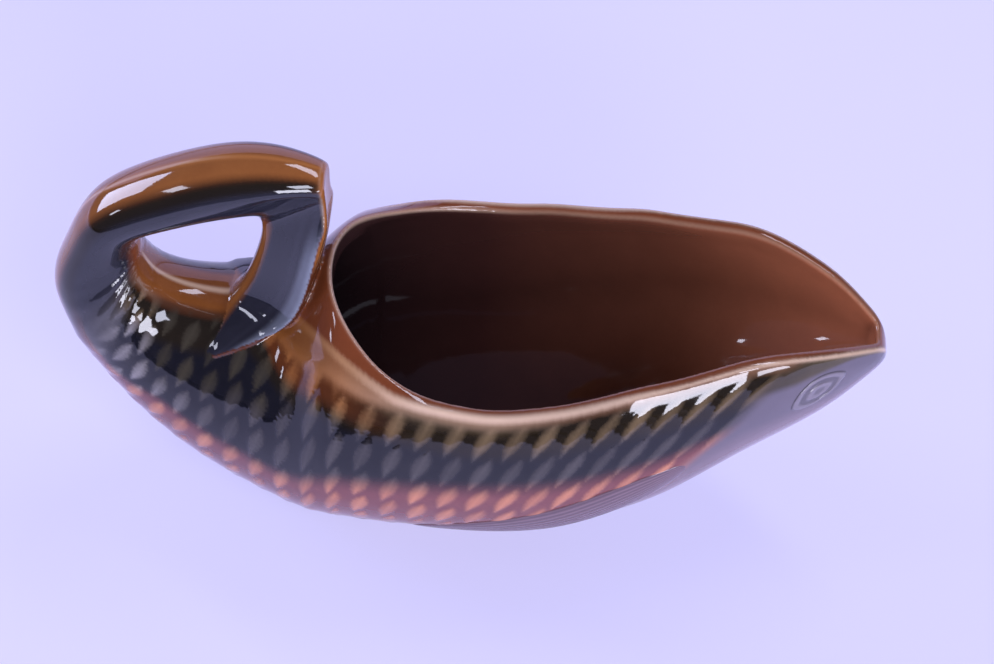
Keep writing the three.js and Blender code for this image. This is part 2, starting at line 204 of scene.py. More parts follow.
# Rails of the tail as shares of the curl's length and rise: outer edge, edge round the finger
# hole, half breadth in millimetres, and the inner edge's share of it. From the seventh on they
# are the fin, whose rim spreads over the back in two lobes. The arch's end is slimmer here than
# in the solids, as in the photograph.
TAIL_RAILS = [
    ((0, 0.04), (0.315, 0.31), 0.54 * TAIL_BREADTH, 0.5),
    ((0.069, 0.341), (0.315, 0.38), 0.5 * TAIL_BREADTH, 0.5),
    ((0.199, 0.65), (0.36, 0.478), 0.49 * TAIL_BREADTH, 0.5),
    ((0.462, 0.885), (0.514, 0.572), 0.485 * TAIL_BREADTH, 0.5),
    ((0.72, 0.993), (0.695, 0.637), 0.455 * TAIL_BREADTH, 0.5),
    ((0.92, 0.95), (0.722, 0.6), 0.33 * TAIL_BREADTH, 0.5),
    ((1.03, 0.85), (0.732, 0.54), 0.22 * TAIL_BREADTH, 0.45),
    ((0.972, 0.62), (0.727, 0.45), 0.19 * FIN_SPREAD, 0.38),
    ((0.938, 0.419), (0.7, 0.315), 0.25 * FIN_SPREAD, 0.33),
    ((0.91, 0.249), (0.66, 0.15), 0.275 * FIN_SPREAD, 0.3),
    ((0.856, 0.056), (0.61, 0.02), 0.325 * FIN_SPREAD, 0.3),
    ((0.756, -0.04), (0.59, -0.012), 0.38 * FIN_SPREAD, 0.45),
    ((0.672, -0.088), (0.57, -0.048), 0.42 * FIN_SPREAD, 0.65),
    ((0.567, -0.146), (0.54, -0.128), 0.435 * FIN_SPREAD, 0.9),
]
RIM_LEAN = 0.75
FACE_HOLLOW = 1.8
tail_rim = profile([(0, 0), (3.6, 0), (5, 0.4), (6, 0.78), (7, 0.93), (9, 1), (14, 1)])


# Sections across the fish, kept as columns of one table

def table(middle, up, width, height, crest, crown, pinch=1, rim=0, edge=0):
    """Rim tells how far the section widens to a rim by its outer edge; edge is its inner share."""
    ones = np.ones(len(width))
    return {
        "middle": middle, "up": up, "width": width, "height": height,
        "crest": crest, "crown": crown, "pinch": pinch * ones,
        "rim": rim * ones, "edge": edge * ones,
    }


def bowl_sections(x):
    width, low, crest = half_width(x), keel(x), np.radians(crest_angle(x / HALF))
    behind = smooth(-COLLAR_X, -CREST_JOIN, -x)
    height = width + ((BACK_HEIGHT - low) / 2 - width) * behind
    crown = COLLAR_RISE * collar(x) + height * (1 - np.sin(crest)) * behind
    up = np.stack([0 * x, 0 * x + 1], 1)
    return table(np.stack([x, low + height], 1), up, width, height, crest, crown)


def rail_sections(outer, inner, width, crest, pinch, rim=0, edge=0):
    up = inner - outer
    height = np.linalg.norm(up, axis=1) / 2
    crown = height * (1 - np.sin(crest))
    middle = (outer + inner) / 2
    return table(middle, up / (2 * height[:, None]), width, height, crest, crown, pinch, rim, edge)


def rump_sections(t):
    x = CREST_JOIN + (ROOT_X - CREST_JOIN) * t
    crest = np.radians(86 - 6 * t)
    outer = np.stack([x, keel(x)], 1)
    return rail_sections(outer, rump_top(t), half_width(x), crest, 1 + 0.1 * smooth(0, 1, t))


def tail_sections(t):
    rise = TAIL_TOP - BACK_HEIGHT
    spot = lambda p: (-HALF + p[0] * CURL_LENGTH, BACK_HEIGHT + p[1] * rise)
    root = np.array([1.0])
    start = (ROOT_X, float(keel(ROOT_X)))
    outer = spline([start] + [spot(r[0]) for r in TAIL_RAILS], t)
    inner = spline([rump_top(root)[0]] + [spot(r[1]) for r in TAIL_RAILS], t)
    width = spline([(float(half_width(ROOT_X)), 0.5)] + [r[2:] for r in TAIL_RAILS], t)
    rail = t * len(TAIL_RAILS)
    crest = np.radians(80) + 0 * t
    pinch = 1 + 0.1 * smooth(2, 0, rail)
    return rail_sections(outer, inner, width[:, 0], crest, pinch, tail_rim(rail), width[:, 1])


# Steps round a section, and sections along each part of the skin
FLANK_STEPS = 56
TOP_STEPS = 36
HULL_RINGS = 300
RUMP_RINGS = 80
TAIL_RINGS = 260
RING = 2 * FLANK_STEPS + TOP_STEPS


def breadth(sec, angle):
    """Half width of each section at an angle round it."""
    rim, edge, pinch = (sec[key][:, None] for key in ("rim", "edge", "pinch"))
    u = np.sin(angle)
    hollow = 1 + (FACE_HOLLOW - 1) * rim**6
    face = (edge + (1 - edge) * np.clip(1 - u, 0, 1) ** hollow) * np.sqrt(1 - np.clip(u, 0, 1) ** 8)
    flared = np.where(u > 0, face, np.cos(angle) ** 1.35)
    return sec["width"][:, None] * ((1 - rim) * np.cos(angle) ** pinch + rim * flared)


def level(sec, angle):
    """Height in each section at an angle round it; the widest place lies towards a rim."""
    u = np.sin(angle)
    lean = -RIM_LEAN * sec["rim"][:, None]
    return sec["height"][:, None] * (lean + u * np.where(u > 0, 1 - lean, 1 + lean))


def rings(sec):
    """Points round each section: from the keel up the left flank, over the top, down the right."""
    flank = np.linspace(0, 1, FLANK_STEPS, endpoint=False)
    angle = -math.pi / 2 + (sec["crest"][:, None] + math.pi / 2) * flank
    crest = sec["crest"][:, None]
    y, h = breadth(sec, angle), level(sec, angle)
    t = np.linspace(1, -1, TOP_STEPS + 1)
    top_y = breadth(sec, crest) * t
    top_h = level(sec, crest) + sec["crown"][:, None] * (1 - t * t)
    y = np.concatenate([y, top_y, -y[:, :0:-1]], 1)
    h = np.concatenate([h, top_h, h[:, :0:-1]], 1)
    x = sec["middle"][:, :1] + sec["up"][:, :1] * h
    z = sec["middle"][:, 1:] + sec["up"][:, 1:] * h
    return np.stack([x, y, z], 2)


def tube(points):
    """Vertices and triangles of a closed body over rings, with a fan over each end."""
    count, size = points.shape[:2]
    i, j = np.meshgrid(np.arange(count - 1), np.arange(size), indexing="ij")
    a, b = i * size + j, i * size + (j + 1) % size
    sides = np.concatenate([
        np.stack([a, b, b + size], -1).reshape(-1, 3),
        np.stack([a, b + size, a + size], -1).reshape(-1, 3),
    ])
    ends = np.stack([points[0].mean(0), points[-1].mean(0)])
    ring = np.arange(size)
    follow = (ring + 1) % size
    tip = count * size
    first = np.stack([0 * ring + tip, follow, ring], 1)
    last = np.stack([0 * ring + tip + 1, ring + tip - size, follow + tip - size], 1)
    return np.concatenate([points.reshape(-1, 3), ends]), np.concatenate([sides, first, last])


# Volumes: signed distances on one grid

GRID_LOW = np.floor(np.array([-HALF - 3, -BEAM / 2 - 4, -1]) / VOXEL).astype(int)
GRID_HIGH = np.ceil(np.array([HALF + 3, BEAM / 2 + 4, TAIL_TOP + 3]) / VOXEL).astype(int)
GRID_SIZE = GRID_HIGH - GRID_LOW + 1


def distance(vertices, triangles):
    """Signed distance to a closed body, negative inside, no further than the band."""
    grid = openvdb.FloatGrid.createLevelSetFromPolygons(
        vertices.astype(np.float32),
        triangles=triangles.astype(np.uint32),
        transform=openvdb.createLinearTransform(VOXEL),
        halfWidth=BAND / VOXEL,
    )
    values = np.empty(GRID_SIZE, np.float32)
    grid.copyToArray(values, ijk=tuple(int(v) for v in GRID_LOW))
    return values


def join(a, b, fillet):
    """Union of two bodies with a fillet between them."""
    near = np.maximum(fillet - np.abs(a - b), 0)
    return np.minimum(a, b) - near * near / np.maximum(4 * fillet, 1e-6)


def soften(values):
    """Rounds edges a little: one pass of a small blur along each axis."""
    for axis in range(3):
        low = np.roll(values, 1, axis)
        high = np.roll(values, -1, axis)
        values = 0.5 * values + 0.25 * (low + high)
    return values


def sample(values, points):
    """Grid values at points, in between by straight lines."""
    place = points / VOXEL - GRID_LOW
    i = np.clip(place.astype(int), 0, GRID_SIZE - 2)
    f = (place - i).astype(np.float32)
    total = np.zeros(len(points), np.float32)
    for corner in range(8):
        bit = np.array([corner & 1, corner >> 1 & 1, corner >> 2 & 1])
        weight = np.prod(np.where(bit, f, 1 - f), axis=1)
        at = i + bit
        total += weight * values[at[:, 0], at[:, 1], at[:, 2]]
    return total


def cavity_rings():
    x = np.linspace(HALF - WALL, CAVITY_REAR, 160)
    room = np.minimum((x - CAVITY_REAR) / 14, 1)
    close = np.sqrt(np.maximum(1 - (1 - room) ** 2, 0.01))
    sec = bowl_sections(x)
    middle, low = sec["middle"][:, 1], sec["middle"][:, 1] - sec["width"]
    back = np.minimum(middle + sec["width"], BACK_HEIGHT + COLLAR_RISE * collar(x))
    behind = x < COLLAR_X
    tall = np.where(behind, (back - low) / 2, sec["height"])
    middle = np.where(behind, (low + back) / 2, middle)
    angle = np.linspace(0, 2 * math.pi, 128, endpoint=False)
    y = ((sec["width"] - WALL) * close)[:, None] * np.cos(angle)
    z = middle[:, None] + ((tall - WALL) * close)[:, None] * np.sin(angle)
    return np.stack([np.broadcast_to(x[:, None], y.shape), y, z], 2)


def mouth_rings():
    """Straight prism over the mouth's outline, from inside the hollow to above the tail."""
    centre, full = 8, 0.91
    crest_width = lambda x: half_width(x) * np.cos(np.radians(crest_angle(x / HALF)))
    widest = crest_width(np.array(centre)) - RIM_WIDTH
    angle = np.linspace(0, math.pi / 2, 60, endpoint=False)
    rear_x = centre - (centre - BOWL_REAR) * np.cos(angle) ** full
    rear_y = widest * np.sin(angle) ** full
    front = HALF - RIM_WIDTH
    t = np.linspace(0, 1, 80)
    front_x = centre + (front - centre) * (1 - (1 - t) ** 2)
    taper = 1.06 * widest * np.sqrt(np.maximum(front - front_x, 0) / (front - centre))
    front_y = np.minimum(crest_width(front_x) - RIM_WIDTH, taper)
    x = np.concatenate([rear_x, front_x])
    y = np.concatenate([rear_y, front_y])
    outline = np.concatenate([np.stack([x, y], 1), np.stack([x, -y], 1)[-2:0:-1]])
    floor = bowl_sections(np.array([front]))["middle"][0, 1]
    levels = [floor, TAIL_TOP + 10]
    return np.stack([np.column_stack([outline, 0 * outline[:, 0] + z]) for z in levels])


# The whole outer skin, from the spout to the lobes of the fin, with its own coordinates

def outer_skin():
    tip = HALF - 0.15
    nose = tip - (tip - CREST_JOIN) * np.linspace(0, 1, HULL_RINGS) ** 1.4
    tail = np.linspace(0, 1, TAIL_RINGS + 1)[1:]
    parts = [
        bowl_sections(nose),
        rump_sections(np.linspace(0, 1, RUMP_RINGS + 1)[1:]),
        tail_sections(tail),
    ]
    sec = {key: np.concatenate([p[key] for p in parts]) for key in parts[0]}
    sec["part"] = np.repeat([0, 1, 2], [len(p["width"]) for p in parts])
    rail = np.linspace(0, len(TAIL_RAILS), TAIL_RINGS + 1)[1:]
    sec["rail"] = np.concatenate([np.zeros(HULL_RINGS + RUMP_RINGS), rail])
    step = np.linalg.norm(np.diff(sec["middle"], axis=0), axis=1)
    hull = sec["part"] == 0
    step[hull[1:]] = -np.diff(sec["middle"][hull, 0])
    sec["along"] = sec["middle"][0, 0] - np.concatenate([[0], np.cumsum(step)])
    share = 0.45 * smooth(4.4, 5.2, sec["rail"]) + 0.55 * smooth(8, 9.5, sec["rail"])
    return sec, eased(rings(sec), share)


def eased(points, share):
    """Evens the turns of the fin, ring by ring; the last ring keeps its place."""
    for _ in range(160):
        inner = 0.25 * points[:-2] + 0.5 * points[1:-1] + 0.25 * points[2:]
        points[1:-1] += share[1:-1, None, None] * (inner - points[1:-1])
    return points


sections, skin = outer_skin()


def body_volume():
    """Distances to the joined body, to its outer form alone and to the hollow."""
    rail = sections["rail"]
    hull = distance(*tube(skin[rail <= STEM_TO_RAIL]))
    fin = distance(*tube(skin[rail >= FIN_FROM_RAIL]))
    for _ in range(FIN_PASSES):
        fin = soften(fin)
    z = (np.arange(GRID_SIZE[2]) + GRID_LOW[2]) * VOXEL
    fillet = FIN_FILLET * smooth(BACK_HEIGHT + 14, BACK_HEIGHT + 6, z).astype(np.float32)
    outer = join(hull, fin, fillet)
    cavity = distance(*tube(cavity_rings()))
    mouth = distance(*tube(mouth_rings()))
    hollow = join(cavity, mouth, np.float32(SHOULDER_FILLET))
    body = -join(-outer, hollow, np.float32(LIP_ROUND))
    return soften(soften(body)), outer, hollow


# Meshes

def quads_of(values):
    """Quads over the surface where the distance is nought, faces out."""
    grid = openvdb.FloatGrid(BAND)
    grid.transform = openvdb.createLinearTransform(VOXEL)
    grid.copyFromArray(values, ijk=tuple(int(v) for v in GRID_LOW))
    points, quads = grid.convertToQuads(0)
    points, quads = points.astype(float), quads.astype(int)
    a, b, c = (points[quads[:, k]] for k in range(3))
    if np.einsum("ij,ij->", a, np.cross(b, c)) < 0:
        quads = quads[:, ::-1]
    return points, quads


class Net:
    """Neighbours of each vertex, for averages over a mesh."""

    def __init__(self, count, quads):
        pairs = np.concatenate([quads[:, [k, (k + 1) % 4]] for k in range(4)])
        pairs = np.unique(np.sort(pairs, axis=1), axis=0)
        self.a, self.b = pairs.T
        self.count = count
        self.valence = np.bincount(self.a, minlength=count) + np.bincount(self.b, minlength=count)

    def mean(self, values):
        columns = values.reshape(self.count, -1)
        out = np.empty_like(columns)
        for k in range(columns.shape[1]):
            col = columns[:, k]
            total = np.bincount(self.a, col[self.b], self.count)
            total = total + np.bincount(self.b, col[self.a], self.count)
            out[:, k] = total / np.maximum(self.valence, 1)
        return out.reshape(values.shape)

    def relax(self, points, rounds):
        """Smooths without shrinking: a pull towards the neighbours, then a push back."""
        for _ in range(rounds):
            points = points + 0.5 * (self.mean(points) - points)
            points = points - 0.53 * (self.mean(points) - points)
        return points


def vertex_normals(points, quads):
    across = points[quads[:, 2]] - points[quads[:, 0]]
    over = points[quads[:, 3]] - points[quads[:, 1]]
    face = np.cross(across, over)
    total = np.zeros_like(points)
    for axis in range(3):
        for k in range(4):
            total[:, axis] += np.bincount(quads[:, k], face[:, axis], len(points))
    return total / np.maximum(np.linalg.norm(total, axis=1, keepdims=True), 1e-9)


def new_piece(name, points, faces, material, attributes=None):
    """A smooth-shaded mesh object, from points in millimetres."""
    mesh = bpy.data.meshes.new(name)
    mesh.from_pydata((points * METRE).tolist(), [], [list(f) for f in faces])
    mesh.shade_smooth()
    for key, values in (attributes or {}).items():
        kind = "FLOAT" if values.ndim == 1 else "FLOAT_COLOR"
        layer = mesh.attributes.new(key, kind, "POINT")
        if values.ndim == 1:
            layer.data.foreach_set("value", values.astype(np.float32))
        else:
            full = np.column_stack([values, np.ones(len(values))])
            layer.data.foreach_set("color", full.astype(np.float32).ravel())
    mesh.materials.append(material)
    piece = bpy.data.objects.new(name, mesh)
    bpy.context.scene.collection.objects.link(piece)
    return piece


# Places on the skin

def skin_coordinates():
    """For each skin point: distance along the fish, girth below the crest, height round the
    section from -1 at the keel to 1 at the top, and the rail number on the tail."""
    count = len(skin)
    step = np.linalg.norm(np.roll(skin, -1, 1) - skin, axis=2)
    left, right = FLANK_STEPS, FLANK_STEPS + TOP_STEPS
    girth = np.zeros((count, RING))
    down = np.cumsum(step[:, left - 1::-1], axis=1)
    girth[:, left - 1::-1] = down
    girth[:, right + 1:] = np.cumsum(step[:, right:-1], axis=1)
    top = np.cumsum(step[:, left:right], axis=1)
    span = top[:, -1:]
    girth[:, left + 1:right] = -np.minimum(top, span - top)[:, :-1]
    flank = np.arange(FLANK_STEPS) / FLANK_STEPS
    crest = sections["crest"][:, None] / (math.pi / 2)
    around = np.ones((count, RING))
    around[:, :left] = -1 + (crest + 1) * flank
    around[:, right + 1:] = (-1 + (crest + 1) * flank)[:, :0:-1]
    t = np.linspace(1, -1, TOP_STEPS + 1)
    around[:, left:right + 1] = crest + (1 - crest) * (1 - np.abs(t))
    along = np.broadcast_to(sections["along"][:, None], girth.shape)
    rail = np.broadcast_to(sections["rail"][:, None], girth.shape)
    return np.stack([along, girth, around, rail], 2)


def share_along(offset, edge):
    """How far along an edge each offset reaches, from nought to one."""
    return np.clip(np.einsum("ij,ij->i", offset, edge) / np.einsum("ij,ij->i", edge, edge), 0, 1)


def skin_places(points):
    """The skin's coordinates at the nearest place on it to each point."""
    i, j = np.meshgrid(np.arange(len(skin) - 1), np.arange(RING), indexing="ij")
    a, b = i * RING + j, i * RING + (j + 1) % RING
    faces = np.stack([a, b, b + RING, a + RING], -1).reshape(-1, 4)
    tree = BVHTree.FromPolygons(skin.reshape(-1, 3).tolist(), faces.tolist())
    hits = [tree.find_nearest(p) for p in points.tolist()]
    index = np.array([h[2] for h in hits])
    spot = np.array([h[0] for h in hits])
    i, j = index // RING, index % RING
    k = (j + 1) % RING
    corner = skin[i, j]
    ahead, aside = skin[i + 1, j] - corner, skin[i, k] - corner
    u, w = share_along(spot - corner, ahead), share_along(spot - corner, aside)
    grid = skin_coordinates()
    low = mix(grid[i, j], grid[i + 1, j], u)
    high = mix(grid[i, k], grid[i + 1, k], u)
    return mix(low, high, w).T


# Relief. Along the fish: girth of the pale line below the rim and of the dark brow's lower edge,
# and lean of the scales. By girth: where the gill ends the scales.

crest_line = profile([(-46, -7), (-36.5, -5.5), (-28, -3.2), (-19.4, -1.5), (-13, 0), (99, 0)])
gill = profile([(0, 76.5), (8, 68), (17, 60), (22, 54), (40, 40), (60, 20)])
brow = profile([(60, 9.5), (68, 7.8), (75.5, 6.4), (80, 4.5), (84.5, 2.8), (91, 1.2), (99, 0.6)])
scale_lean = profile([(-110, 0.5), (-60, 0.4), (-35, 0.32), (0, 0.45), (40, 0.75), (76, 1.1)])


def first_row(along):
    """Girth of the first row's middle: below the crest by the bowl, along the waist behind it."""
    hull = sections["part"] < 2
    left_side = skin_coordinates()[hull, :FLANK_STEPS]
    climb = np.array([np.interp(WAIST, line[:, 2], line[:, 1]) for line in left_side])
    lengthwise = sections["along"][hull]
    behind = np.minimum(along, SCALE_REAR)
    rise = np.interp(behind, lengthwise[::-1], climb[::-1])
    start = np.interp(SCALE_REAR, lengthwise[::-1], climb[::-1])
    return SCALE_TOP + SCALE_DROP * smooth(-5, -35, np.maximum(along, SCALE_REAR)) + rise - start


def scale_relief(along, girth):
    """Height of the scales, nought on the ground and one on a scale, and how pale each one is:
    leaning leaves in rows."""
    first = first_row(along)
    lean = scale_lean(along)
    place = np.round((girth - first) / SCALE_ROW)
    height, pale = np.zeros_like(girth), np.zeros_like(girth)
    for step in (-1, 0, 1):
        row = place + step
        down = girth - first - row * SCALE_ROW
        column = (along + lean * down) / SCALE_PITCH + 0.12 * row
        across = (column - np.round(column)) * SCALE_PITCH
        share = down / SCALE_HALF_LENGTH
        width = SCALE_HALF_WIDTH * (1 - 0.35 * np.clip(share, -1, 1))
        dome = smooth(1.05, 0.25, np.abs(across) / width + share**2)
        dome = dome * np.where(row < 0, smooth(SCALE_REAR, SCALE_REAR - 10, along), 1)
        tone = 0.76 + 0.16 * np.sin(2.4 * np.round(column) + 5.1 * row)
        tone = tone + 0.1 * np.cos(4.2 * across)
        pale = np.where(dome > height, tone, pale)
        height = np.maximum(height, dome)
    return height, pale


def scale_zone(along, girth, around):
    """One where the flank carries scales."""
    head = smooth(-2, 3, gill(girth) - along)
    tail = smooth(-101, -90, along)
    start = 1.5 + 2.5 * smooth(-42, -58, along)
    crest = smooth(start, start + 3, girth)
    belly = smooth(-0.82, -0.7, around)
    return head * tail * crest * belly


def scale_calm(along, girth):
    """How far the scales lie flat: under the crest and on the rump."""
    crest = 0.6 * smooth(12, 3, girth)
    rump = 0.9 * bell(along, -72, 30) * smooth(30, 18, girth)
    return np.maximum(crest, rump)


def crook_relief(along, around):
    """Folds that fan out from the crook of the tail, about nought."""
    zone = bell(along, -103, 12) * smooth(-0.5, 0, around) * smooth(1, 0.7, around)
    return zone * np.cos(2 * math.pi * along / 4.6)


def fin_rays(rail, around):
    """Fine rays on the face of the tail fin, beside its rim: nought between them, one on a ray."""
    zone = smooth(6.6, 7.8, rail) * smooth(0.02, 0.08, around) * smooth(0.4, 0.15, around)
    return zone * (0.5 + 0.5 * np.cos(2 * math.pi * around / 0.12))


# Glaze colours, where the glaze lies thin and where it has run together

CREAM = (0.55, 0.39, 0.29)
GOLD = (0.36, 0.19, 0.10)
TAN = (0.28, 0.18, 0.12)
AMBER = (0.30, 0.113, 0.032)
AMBER_DEEP = (0.085, 0.022, 0.005)
OLIVE = (0.11, 0.075, 0.042)
OLIVE_DEEP = (0.010, 0.007, 0.004)
STONE = (0.050, 0.044, 0.046)
STONE_PALE = (0.18, 0.165, 0.175)
DUSK = (0.036, 0.030, 0.021)
SLATE = (0.005, 0.005, 0.008)
BRICK = (0.41, 0.16, 0.09)
MAROON = (0.13, 0.038, 0.042)
# Mauve of the lower belly, darkened in part as painted shade from the floor close below
MAUVE = (0.18, 0.08, 0.09)
# Painted highlight: pale blue for the line along the fin's rim
RIM_HIGHLIGHT_BLUE = (0.20, 0.22, 0.28)
BLUE = (0.024, 0.024, 0.035)
BLUE_DEEP = (0.005, 0.005, 0.009)
HEAD = (0.12, 0.10, 0.135)
HEAD_DEEP = (0.07, 0.06, 0.085)
HEAD_PINK = (0.16, 0.10, 0.12)
EYE = (0.145, 0.125, 0.16)
EYE_DEEP = (0.045, 0.04, 0.055)
BROWN = (0.20, 0.052, 0.018)
BROWN_DEEP = (0.060, 0.016, 0.006)
LEAF = (0.14, 0.09, 0.115)
LEAF_DEEP = (0.08, 0.05, 0.07)
# Inside: the amber glaze with painted light and shade, lit towards the spout and shaded at the back
INNER_SPOUT_LIT = (0.46, 0.15, 0.075)
INNER_MIDDLE = (0.060, 0.021, 0.018)
INNER_REAR_SHADED = (0.012, 0.008, 0.010)


def ramp(x, stops):
    """Colours between stops of (place, colour)."""
    places = [s[0] for s in stops]
    return np.stack([np.interp(x, places, [s[1][k] for s in stops]) for k in range(3)], -1)


def flank_glaze(along, girth, around):
    """Bands down the flank: olive under the crest, stone on slate, then brick and mauve, the mauve
    partly painted shade; the rump's scales are darkened as a painted dark reflection.
    """
    rear = smooth(-8, -40, along)
    down = girth - 3.5 * rear
    thin = ramp(down, [(0.6, TAN), (4, OLIVE), (8, OLIVE), (11, STONE)])
    thin = mix(thin, STONE_PALE, smooth(-60, -80, along) * smooth(6, 12, down))
    # Painted dark reflection: the rump's scales darkened towards DUSK.
    rump_painted_dark = smooth(-38, -48, along) * smooth(-86, -76, along) * smooth(28, 20, girth)
    thin = mix(thin, DUSK, rump_painted_dark)
    deep = ramp(down, [(0, AMBER_DEEP), (3, OLIVE_DEEP), (9, OLIVE_DEEP), (12, SLATE)])
    reach = 12 - 7.5 * smooth(-42, -54, along)
    warm = rear * smooth(reach, 0.55 * reach, girth)
    low = smooth(0.1, -0.03, around + 0.25 * smooth(-72, -96, along))
    thin, deep = mix(thin, AMBER, warm), mix(deep, AMBER_DEEP, warm)
    belly = ramp(around, [(-0.34, MAUVE), (-0.2, BRICK)])
    return mix(thin, belly, low), mix(deep, MAROON, low)


def head_glaze(along, girth, around):
    """A dark band above the eye that pales towards the mouth, over grey and pink."""
    lower = smooth(0.8, 1.15, girth / brow(along))
    band_thin = ramp(along, [(70, DUSK), (84, OLIVE)])
    band_deep = ramp(along, [(70, OLIVE_DEEP), (84, DUSK)])
    thin = mix(band_thin, ramp(around, [(-0.3, HEAD_PINK), (0, HEAD)]), lower)
    deep = mix(band_deep, ramp(around, [(-0.3, HEAD_PINK), (0, HEAD_DEEP)]), lower)
    return thin, deep


def tail_glaze(around, rail):
    """Amber on the arch's outer side and slate blue by the hole; the fin's faces are slate blue
    from a painted pale blue highlight on its rim to the amber edge round the hole, its back
    painted dark as shade."""
    arch_thin = ramp(around, [(-0.66, AMBER), (-0.48, OLIVE_DEEP), (-0.3, OLIVE_DEEP),
                              (-0.15, BLUE), (0.6, BLUE), (0.8, BROWN), (1, AMBER)])
    arch_thin = mix(arch_thin, CREAM, smooth(-0.95, -1, around) * smooth(5, 4, rail))
    arch_deep = ramp(around, [(-1, AMBER), (-0.9, AMBER_DEEP), (-0.6, AMBER_DEEP),
                              (-0.42, OLIVE_DEEP), (-0.15, BLUE_DEEP), (0.6, BLUE_DEEP),
                              (0.8, BROWN_DEEP), (1, AMBER_DEEP)])
    # The fin's back is coloured dark brown here as painted shade.
    fin_thin = ramp(around, [(-1, OLIVE), (-0.7, BROWN_DEEP), (-0.2, BROWN_DEEP), (0.05, BLUE),
                             (0.6, BLUE), (0.74, AMBER)])
    fin_deep = ramp(around, [(-0.2, BROWN_DEEP), (0.05, BLUE_DEEP),
                             (0.6, BLUE_DEEP), (0.74, AMBER_DEEP)])
    # Painted highlight: a pale blue line along the fin's rim
    rim = bell(around, 0.03, 0.15) * smooth(7.4, 8.8, rail)
    fin_thin, fin_deep = mix(fin_thin, RIM_HIGHLIGHT_BLUE, rim), mix(fin_deep, BLUE, rim)
    fin = smooth(6.4, 7.8, rail)
    return mix(arch_thin, fin_thin, fin), mix(arch_deep, fin_deep, fin)


def outer_glaze(along, girth, around, rail):
    """Thin and deep colours on the outside."""
    above = girth - crest_line(along)
    width = 2.1 - 1.2 * smooth(28, 55, along)
    line = ramp(along, [(-38, AMBER), (-24, GOLD), (-8, CREAM)])
    pairs = [
        (head_glaze(along, girth, around), smooth(-3, 4, along - gill(girth))),
        ((BROWN, BROWN_DEEP), smooth(0.2, -1.8, above) * smooth(-50, -44, along)),
        ((AMBER, AMBER_DEEP), smooth(0, -1, girth) * smooth(-44, -50, along)),
        ((line, 0.6 * line), smooth(width, 0, np.abs(above)) * smooth(-44, -36, along)),
        ((CREAM, TAN), smooth(0.96, 0.995, around) * smooth(-52, -58, along)),
        (tail_glaze(around, rail), smooth(-90, -108, along)),
    ]
    thin, deep = flank_glaze(along, girth, around)
    for (over_thin, over_deep), share in pairs:
        thin, deep = mix(thin, over_thin, share), mix(deep, over_deep, share)
    return thin, deep


def inner_glaze(points):
    """Thin and deep colours inside: the amber glaze in painted shade, dark at the back,
    and painted light, warmer and brighter towards the spout.
    """
    front = mix(INNER_MIDDLE, INNER_SPOUT_LIT, 0.3)
    stops = [(-40, INNER_REAR_SHADED), (0, INNER_MIDDLE), (40, front), (90, INNER_SPOUT_LIT)]
    thin = ramp(points[:, 0], stops)
    return thin, 0.45 * thin


def body_glaze(points, normals, places, inside, lip):
    """Thin and deep colours over the whole body, with a paler lip and amber on the arch's end."""
    thin, deep = outer_glaze(*places)
    inner_thin, inner_deep = inner_glaze(points)
    thin, deep = mix(thin, inner_thin, inside), mix(deep, inner_deep, inside)
    x, _, z = points.T
    edge = mix(TAN, CREAM, smooth(20, -20, x))
    thin, deep = mix(thin, edge, 0.6 * lip), mix(deep, 0.6 * edge, 0.6 * lip)
    end = smooth(0.3, 0.7, normals[:, 0]) * smooth(-42, -36, x) * smooth(82, 88, z)
    return mix(thin, AMBER, end), mix(deep, AMBER_DEEP, end)


def surface_bend(net, points, normals):
    """How far the surface bends, evened out: positive on ridges and negative in hollows."""
    bend = -np.einsum("ij,ij->i", normals, net.mean(points) - points) / VOXEL**2
    for _ in range(3):
        bend = net.mean(bend)
    return bend


def glazed_body(material):
    body, outer, hollow = body_volume()
    points, quads = quads_of(body)
    net = Net(len(points), quads)
    points = net.relax(points, 6)
    normals = vertex_normals(points, quads)
    to_outer, to_hollow = sample(outer, points), sample(hollow, points)
    inside = np.clip(0.5 - to_outer - to_hollow, 0, 1)
    lip = smooth(1.5, 0.5, np.abs(to_outer) + np.abs(to_hollow))
    places = skin_places(points)
    along, girth, around, rail = places
    outside = 1 - inside
    zone = outside * scale_zone(along, girth, around) * smooth(1, 3, to_hollow)
    scales, pale = scale_relief(along, girth)
    folds, rays = crook_relief(along, around), outside * fin_rays(rail, around)
    carved = zone * (1 - scale_calm(along, girth)) * SCALE_HEIGHT * (scales - 1)
    height = carved + outside * FOLD_HEIGHT * folds - RAY_DEPTH * rays
    points = points + normals * height[:, None]
    normals = vertex_normals(points, quads)
    thin, deep = body_glaze(points, normals, places, inside, lip)
    band = outside * bell(girth, 2, 4) * smooth(-48, -36, along) * (1 - 1.8 * smooth(5, 30, along))
    rump = outside * smooth(9, 6, girth) * smooth(-42, -52, along) * smooth(-104, -96, along)
    pool = 0.55 + 0.45 * zone - 0.95 * zone * scales * pale - 0.3 * band - 0.3 * rays + 0.2 * rump
    pool = pool - 0.8 * np.clip(surface_bend(net, points, normals), -0.4, 0.7)
    look = {"thin": thin, "deep": deep, "pool": np.clip(pool, 0, 1.1)}
    return new_piece("glazed_body", points, quads, material, look)


# Eyes and side fins, each a closed piece seated a little way into the flank

# Steps round an eye and rings on its face; rings along a side fin and steps across its face
EYE_STEPS = 120
EYE_RINGS = 60
LEAF_RINGS = 200
LEAF_STEPS = 97

eye_height = profile([(0, 0.2), (0.12, 0.2), (0.26, 0.36), (0.38, 0.38), (0.52, 0.14), (0.64, 0.12),
                      (0.78, 0.36), (0.88, 0.34), (1, -0.05)])
side_fin_middle = profile([(SIDE_FIN_TIP, -34), (0.55 * SIDE_FIN_TIP + 0.45 * SIDE_FIN_ROOT, -25),
                           (SIDE_FIN_ROOT, -8)])


